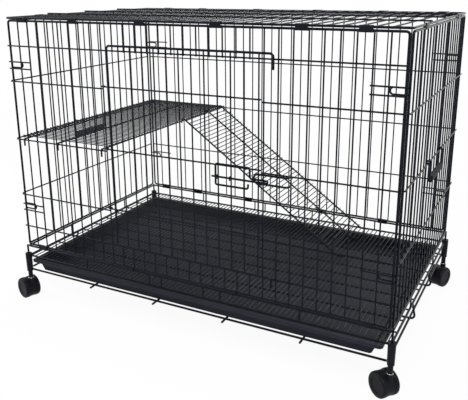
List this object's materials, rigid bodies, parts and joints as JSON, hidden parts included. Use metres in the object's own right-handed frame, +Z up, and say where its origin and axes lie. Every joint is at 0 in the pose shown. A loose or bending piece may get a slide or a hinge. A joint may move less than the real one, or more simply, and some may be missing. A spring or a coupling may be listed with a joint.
{
  "type": "ferret cage",
  "caption": "Folding black wire pet cage with a latched front door, a shelf and ramp inside, a grate over a slide-out tray, side carry handles and swivel casters.",
  "frame": {"origin": "on the floor, under the middle of the cage", "axes": "+X along the front towards its right side, +Y towards the back, +Z up"},
  "size_m": [0.8267, 0.5007, 0.5948],
  "materials": {
    "black_wire": "smooth, glossy black powder coat on steel wire",
    "clip_steel": "smooth, glossy black coat on bent sheet steel",
    "tray_plastic": "satin black moulded plastic",
    "grip_plastic": "matte black moulded plastic",
    "caster_plastic": "smooth, glossy black nylon",
    "axle_steel": "plain bright steel"
  },
  "bodies": {
    "cage": {"front_frame": "black_wire", "front_rods": "black_wire", "front_bars": "black_wire", "back_frame": "black_wire", "back_rods": "black_wire", "back_bars": "black_wire", "left_frame": "black_wire", "left_rods": "black_wire", "left_bars": "black_wire", "left_tabs": "black_wire", "top_frame": "black_wire", "top_rods": "black_wire", "top_bars": "black_wire", "latch_keeper": "black_wire", "shelf_edge_wire": "black_wire", "shelf_hook_wires": "black_wire", "shelf_rods": "black_wire", "base_rim": "black_wire", "base_struts": "black_wire", "grate_border": "black_wire", "grate_rods": "black_wire", "grate_bars_under": "black_wire", "corner_legs": "black_wire", "rack_border": "black_wire", "rack_cradles": "black_wire", "rack_rods": "black_wire", "front_clips": "clip_steel", "back_clips": "clip_steel", "side_clips": "clip_steel", "base_clips": "clip_steel", "caster_sleeves": "caster_plastic"},
    "door": {"door_frame": "black_wire", "door_rods": "black_wire", "door_bars": "black_wire", "latch_guides": "black_wire"},
    "latch": {"latch_bolt": "black_wire"},
    "right_panel": {"right_frame": "black_wire", "right_rods": "black_wire", "right_bars": "black_wire", "right_tabs": "black_wire"},
    "right_handle": {"right_bail": "black_wire", "right_grip": "grip_plastic"},
    "left_handle": {"left_bail": "black_wire", "left_grip": "grip_plastic"},
    "ramp": {"ramp_rails": "black_wire", "ramp_rods": "black_wire"},
    "tray": {"tray": "tray_plastic"},
    "caster_fl": {"hood_fl": "caster_plastic"},
    "wheels_fl": {"wheels_fl": "caster_plastic", "axle_fl": "axle_steel"},
    "caster_fr": {"hood_fr": "caster_plastic"},
    "wheels_fr": {"wheels_fr": "caster_plastic", "axle_fr": "axle_steel"},
    "caster_br": {"hood_br": "caster_plastic"},
    "wheels_br": {"wheels_br": "caster_plastic", "axle_br": "axle_steel"},
    "caster_bl": {"hood_bl": "caster_plastic"},
    "wheels_bl": {"wheels_bl": "caster_plastic", "axle_bl": "axle_steel"}
  },
  "joints": [
    {"name": "door_swing", "type": "hinge", "parent": "cage", "child": "door", "pos_m": [-0.15935, -0.2342, 0.35], "axis": [0, 0, -1], "range_deg": [0, 110]},
    {"name": "latch_slide", "type": "slide", "parent": "door", "child": "latch", "axis": [1, 0, 0], "range_m": [-0.03, 0]},
    {"name": "right_panel_fold", "type": "hinge", "parent": "cage", "child": "right_panel", "pos_m": [0.38435, 0, 0.585], "axis": [0, 1, 0], "range_deg": [0, 65]},
    {"name": "right_handle_swing", "type": "hinge", "parent": "right_panel", "child": "right_handle", "pos_m": [0.38777, -0.003, 0.35325], "axis": [0, -1, 0], "range_deg": [0, 110]},
    {"name": "left_handle_swing", "type": "hinge", "parent": "cage", "child": "left_handle", "pos_m": [-0.38777, -0.003, 0.35325], "axis": [0, 1, 0], "range_deg": [0, 110]},
    {"name": "ramp_lift", "type": "hinge", "parent": "cage", "child": "ramp", "pos_m": [-0.168, 0, 0.35642], "axis": [0, -1, 0], "range_deg": [0, 40]},
    {"name": "tray_slide", "type": "slide", "parent": "cage", "child": "tray", "axis": [0, -1, 0], "range_m": [0, 0.42]},
    {"name": "caster_swivel_fl", "type": "hinge", "parent": "cage", "child": "caster_fl", "pos_m": [-0.38573, -0.23488, 0.07], "axis": [0, 0, 1], "continuous": true},
    {"name": "wheel_spin_fl", "type": "hinge", "parent": "caster_fl", "child": "wheels_fl", "pos_m": [-0.39809, -0.23086, 0.0223], "axis": [-0.309, -0.9511, 0], "continuous": true},
    {"name": "caster_swivel_fr", "type": "hinge", "parent": "cage", "child": "caster_fr", "pos_m": [0.38573, -0.23488, 0.07], "axis": [0, 0, 1], "continuous": true},
    {"name": "wheel_spin_fr", "type": "hinge", "parent": "caster_fr", "child": "wheels_fr", "pos_m": [0.37535, -0.22706, 0.0223], "axis": [-0.6018, -0.7986, 0], "continuous": true},
    {"name": "caster_swivel_br", "type": "hinge", "parent": "cage", "child": "caster_br", "pos_m": [0.38573, 0.23488, 0.07], "axis": [0, 0, 1], "continuous": true},
    {"name": "wheel_spin_br", "type": "hinge", "parent": "caster_br", "child": "wheels_br", "pos_m": [0.38107, 0.22274, 0.0223], "axis": [0.9336, -0.3584, 0], "continuous": true},
    {"name": "caster_swivel_bl", "type": "hinge", "parent": "cage", "child": "caster_bl", "pos_m": [-0.38573, 0.23488, 0.07], "axis": [0, 0, 1], "continuous": true},
    {"name": "wheel_spin_bl", "type": "hinge", "parent": "caster_bl", "child": "wheels_bl", "pos_m": [-0.39017, 0.22266, 0.0223], "axis": [0.9397, -0.342, 0], "continuous": true}
  ]
}
